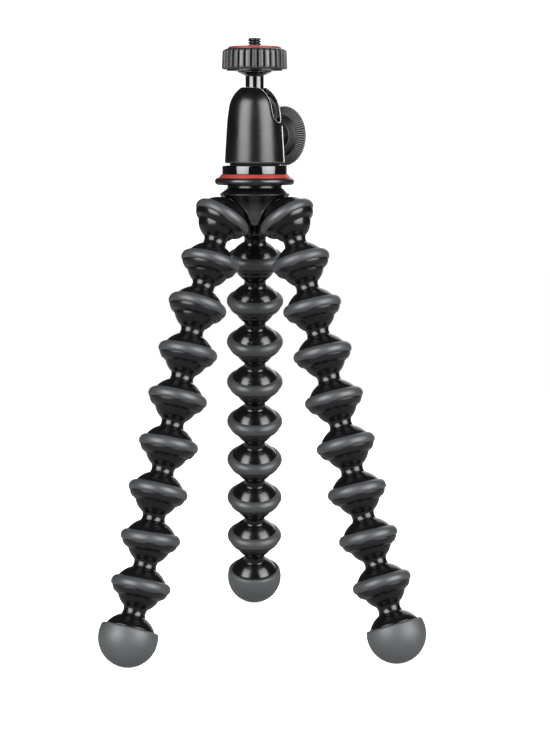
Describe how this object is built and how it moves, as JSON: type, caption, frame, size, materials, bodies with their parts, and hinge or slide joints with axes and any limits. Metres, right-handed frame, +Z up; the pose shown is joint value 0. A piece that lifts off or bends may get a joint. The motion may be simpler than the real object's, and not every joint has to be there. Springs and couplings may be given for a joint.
{
  "type": "flexible leg tripod",
  "caption": "Small tripod with flexible legs of ringed ball-and-socket links, a hub, and a panning ball head with a fluted mounting disc and a camera screw.",
  "frame": {"origin": "middle of the box round the feet, on the floor they stand on", "axes": "+Z up, +Y towards the back leg, the left and right legs towards -Y"},
  "size_m": [0.1528, 0.1688, 0.2915],
  "materials": {
    "link_plastic": "glossy black moulding",
    "grip_rubber": "grey satin rubber",
    "boot_rubber": "grey matt rubber",
    "hub_plastic": "black satin moulding",
    "flange_plastic": "dark grey moulding",
    "accent_red": "red moulding",
    "pan_gloss": "mirror black",
    "housing_coat": "satin black coating",
    "stem_coat": "gloss black coating",
    "disc_plastic": "dark grey moulding",
    "pad_rubber": "red rubber",
    "knob_plastic": "dark grey moulding",
    "screw_black": "blackened steel",
    "steel": "zinc plated",
    "seat_plastic": "natural acetal"
  },
  "bodies": {
    "hub": {"hub_body": "hub_plastic", "hub_grip_rings": "grip_rubber", "hub_stud": "steel", "base_flange": "flange_plastic", "accent_ring": "accent_red", "pan_base": "pan_gloss", "pan_washer": "steel", "pan_screw": "steel"},
    "housing": {"ball_housing": "housing_coat", "housing_floor": "steel", "knob_washer": "seat_plastic"},
    "brake_seat": {"brake_seat": "seat_plastic"},
    "knob": {"lock_knob": "knob_plastic", "knob_bolt": "steel", "knob_cap": "knob_plastic"},
    "stem": {"ball_stem": "stem_coat", "camera_screw": "screw_black"},
    "disc": {"mounting_disc": "disc_plastic", "disc_pad": "pad_rubber"},
    "left_link_1": {"left_link_1": "link_plastic"},
    "left_link_2": {"left_link_2": "link_plastic"},
    "left_link_3": {"left_link_3": "link_plastic"},
    "left_link_4": {"left_link_4": "link_plastic"},
    "left_link_5": {"left_link_5": "link_plastic"},
    "left_link_6": {"left_link_6": "link_plastic"},
    "left_link_7": {"left_link_7": "link_plastic"},
    "left_link_8": {"left_link_8": "link_plastic"},
    "left_foot": {"left_foot": "link_plastic", "left_boot": "boot_rubber"},
    "right_link_1": {"right_link_1": "link_plastic"},
    "right_link_2": {"right_link_2": "link_plastic"},
    "right_link_3": {"right_link_3": "link_plastic"},
    "right_link_4": {"right_link_4": "link_plastic"},
    "right_link_5": {"right_link_5": "link_plastic"},
    "right_link_6": {"right_link_6": "link_plastic"},
    "right_link_7": {"right_link_7": "link_plastic"},
    "right_link_8": {"right_link_8": "link_plastic"},
    "right_foot": {"right_foot": "link_plastic", "right_boot": "boot_rubber"},
    "back_link_1": {"back_link_1": "link_plastic"},
    "back_link_2": {"back_link_2": "link_plastic"},
    "back_link_3": {"back_link_3": "link_plastic"},
    "back_link_4": {"back_link_4": "link_plastic"},
    "back_link_5": {"back_link_5": "link_plastic"},
    "back_link_6": {"back_link_6": "link_plastic"},
    "back_link_7": {"back_link_7": "link_plastic"},
    "back_link_8": {"back_link_8": "link_plastic"},
    "back_foot": {"back_foot": "link_plastic", "back_boot": "boot_rubber"}
  },
  "joints": [
    {"name": "head_pan", "type": "hinge", "parent": "hub", "child": "housing", "pos_m": [-0.00401, -0.01282, 0.25626], "axis": [0, 0, 1], "continuous": true},
    {"name": "ball_tilt", "type": "hinge", "parent": "housing", "child": "stem", "pos_m": [-0.00401, -0.01282, 0.25626], "axis": [0.3907, 0.9205, 0], "range_deg": [-7, 90]},
    {"name": "disc_spin", "type": "hinge", "parent": "stem", "child": "disc", "pos_m": [-0.00401, -0.01282, 0.27681], "axis": [0, 0, 1], "continuous": true},
    {"name": "knob_turn", "type": "hinge", "parent": "housing", "child": "knob", "pos_m": [0.00835, -0.00001, 0.24521], "axis": [0.6947, 0.7193, 0], "range_deg": [0, 270]},
    {"name": "seat_release", "type": "slide", "parent": "housing", "child": "brake_seat", "axis": [0, 0, 1], "range_m": [-0.00025, 0]},
    {"name": "left_bend_1", "type": "hinge", "parent": "hub", "child": "left_link_1", "pos_m": [-0.02047, -0.02232, 0.20476], "axis": [-0.7536, 0.6574, 0], "range_deg": [-12.5, 39]},
    {"name": "left_bend_2", "type": "hinge", "parent": "left_link_1", "child": "left_link_2", "pos_m": [-0.02559, -0.02819, 0.18381], "axis": [-0.6161, -0.7063, 0.3486], "range_deg": [-27.5, 27.5]},
    {"name": "left_bend_3", "type": "hinge", "parent": "left_link_2", "child": "left_link_3", "pos_m": [-0.03152, -0.03499, 0.16336], "axis": [0.7536, -0.6574, 0], "range_deg": [-34.5, 21]},
    {"name": "left_bend_4", "type": "hinge", "parent": "left_link_3", "child": "left_link_4", "pos_m": [-0.03581, -0.03991, 0.14199], "axis": [0.6287, 0.7206, -0.2924], "range_deg": [-27.5, 27.5]},
    {"name": "left_bend_5", "type": "hinge", "parent": "left_link_4", "child": "left_link_5", "pos_m": [-0.04052, -0.04531, 0.12082], "axis": [-0.7536, 0.6574, 0], "range_deg": [-25.5, 30]},
    {"name": "left_bend_6", "type": "hinge", "parent": "left_link_5", "child": "left_link_6", "pos_m": [-0.04465, -0.05004, 0.09937], "axis": [-0.631, -0.7233, 0.2807], "range_deg": [-27.5, 27.5]},
    {"name": "left_bend_7", "type": "hinge", "parent": "left_link_6", "child": "left_link_7", "pos_m": [-0.04941, -0.05549, 0.07822], "axis": [0.7536, -0.6574, 0], "range_deg": [-33.5, 22]},
    {"name": "left_bend_8", "type": "hinge", "parent": "left_link_7", "child": "left_link_8", "pos_m": [-0.05279, -0.05937, 0.05647], "axis": [0.6397, 0.7334, -0.23], "range_deg": [-27.5, 27.5]},
    {"name": "left_bend_9", "type": "hinge", "parent": "left_link_8", "child": "left_foot", "pos_m": [-0.05723, -0.06446, 0.03517], "axis": [-0.7536, 0.6574, 0], "range_deg": [-30.5, 25]},
    {"name": "right_bend_1", "type": "hinge", "parent": "hub", "child": "right_link_1", "pos_m": [0.01244, -0.02232, 0.20476], "axis": [-0.6293, -0.7771, 0], "range_deg": [-13.5, 41.5]},
    {"name": "right_bend_2", "type": "hinge", "parent": "right_link_1", "child": "right_link_2", "pos_m": [0.01856, -0.02728, 0.18384], "axis": [0.7273, -0.589, 0.3524], "range_deg": [-27.5, 27.5]},
    {"name": "right_bend_3", "type": "hinge", "parent": "right_link_2", "child": "right_link_3", "pos_m": [0.02379, -0.03151, 0.16253], "axis": [0.6293, 0.7771, 0], "range_deg": [-29, 26.5]},
    {"name": "right_bend_4", "type": "hinge", "parent": "right_link_3", "child": "right_link_4", "pos_m": [0.02865, -0.03544, 0.14107], "axis": [-0.7462, 0.6042, -0.2795], "range_deg": [-27.5, 27.5]},
    {"name": "right_bend_5", "type": "hinge", "parent": "right_link_4", "child": "right_link_5", "pos_m": [0.03406, -0.03982, 0.11983], "axis": [-0.6293, -0.7771, 0], "range_deg": [-28, 27.5]},
    {"name": "right_bend_6", "type": "hinge", "parent": "right_link_5", "child": "right_link_6", "pos_m": [0.03958, -0.04429, 0.09864], "axis": [0.7369, -0.5967, 0.3178], "range_deg": [-27.5, 27.5]},
    {"name": "right_bend_7", "type": "hinge", "parent": "right_link_6", "child": "right_link_7", "pos_m": [0.04472, -0.04846, 0.0773], "axis": [0.6293, 0.7771, 0], "range_deg": [-27.5, 28]},
    {"name": "right_bend_8", "type": "hinge", "parent": "right_link_7", "child": "right_link_8", "pos_m": [0.04995, -0.05269, 0.05598], "axis": [-0.741, 0.6001, -0.3012], "range_deg": [-27.5, 27.5]},
    {"name": "right_bend_9", "type": "hinge", "parent": "right_link_8", "child": "right_foot", "pos_m": [0.05627, -0.05781, 0.03516], "axis": [-0.6293, -0.7771, 0], "range_deg": [-27, 28.5]},
    {"name": "back_bend_1", "type": "hinge", "parent": "hub", "child": "back_link_1", "pos_m": [-0.00401, 0.00618, 0.20476], "axis": [0.9998, 0.0192, 0], "range_deg": [-8, 47.5]},
    {"name": "back_bend_2", "type": "hinge", "parent": "back_link_1", "child": "back_link_2", "pos_m": [-0.00412, 0.01199, 0.18318], "axis": [-0.0185, 0.9655, 0.2598], "range_deg": [-27.5, 27.5]},
    {"name": "back_bend_3", "type": "hinge", "parent": "back_link_2", "child": "back_link_3", "pos_m": [-0.00424, 0.01828, 0.16173], "axis": [-0.9998, -0.0192, 0], "range_deg": [-24, 31.5]},
    {"name": "back_bend_4", "type": "hinge", "parent": "back_link_3", "child": "back_link_4", "pos_m": [-0.00439, 0.02595, 0.14074], "axis": [0.018, -0.9392, -0.343], "range_deg": [-27.5, 27.5]},
    {"name": "back_bend_5", "type": "hinge", "parent": "back_link_4", "child": "back_link_5", "pos_m": [-0.00454, 0.03343, 0.11968], "axis": [0.9998, 0.0192, 0], "range_deg": [-27.5, 28]},
    {"name": "back_bend_6", "type": "hinge", "parent": "back_link_5", "child": "back_link_6", "pos_m": [-0.00468, 0.04083, 0.09859], "axis": [-0.0181, 0.9433, 0.3315], "range_deg": [-27.5, 27.5]},
    {"name": "back_bend_7", "type": "hinge", "parent": "back_link_6", "child": "back_link_7", "pos_m": [-0.00483, 0.04886, 0.07774], "axis": [-0.9998, -0.0192, 0], "range_deg": [-28.5, 27]},
    {"name": "back_bend_8", "type": "hinge", "parent": "back_link_7", "child": "back_link_8", "pos_m": [-0.00498, 0.05656, 0.05675], "axis": [0.018, -0.9386, -0.3446], "range_deg": [-27.5, 27.5]},
    {"name": "back_bend_9", "type": "hinge", "parent": "back_link_8", "child": "back_foot", "pos_m": [-0.00511, 0.06316, 0.0354], "axis": [0.9998, 0.0192, 0], "range_deg": [-29.5, 26]}
  ],
  "couplings": [
    {"joint": "seat_release", "follows": "knob_turn", "m_per_rad": -0.000052999}
  ]
}
